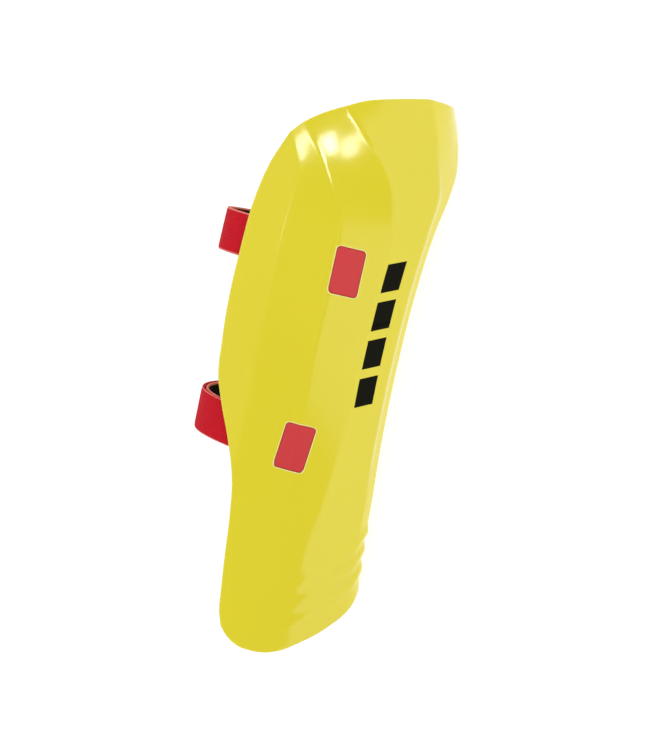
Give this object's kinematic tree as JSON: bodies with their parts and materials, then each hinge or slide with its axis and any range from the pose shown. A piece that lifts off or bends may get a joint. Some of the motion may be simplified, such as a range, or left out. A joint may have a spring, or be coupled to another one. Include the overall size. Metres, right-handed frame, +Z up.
{
  "type": "ski racing shin guard",
  "caption": "Moulded half-pipe shin guard with flared knee end, ridged front, and webbing straps that close it behind the calf",
  "frame": {"origin": "centre of the bounding box at floor level, with the guard lying on its right side as it comes to rest", "axes": "X along the leg with the knee end at +X, Z up from the floor, and the guard's front toward -Y"},
  "size_m": [0.3708, 0.1392, 0.1345],
  "materials": {
    "shell": "glossy moulded",
    "webbing": "woven",
    "tab": "satin"
  },
  "bodies": {
    "root": {"shell": "shell", "upper_strap": "webbing", "lower_strap": "webbing", "lower_strap_overlap": "webbing", "upper_tab_left": "tab", "upper_tab_right": "tab", "lower_tab_left": "tab", "lower_tab_right": "tab"}
  },
  "joints": []
}
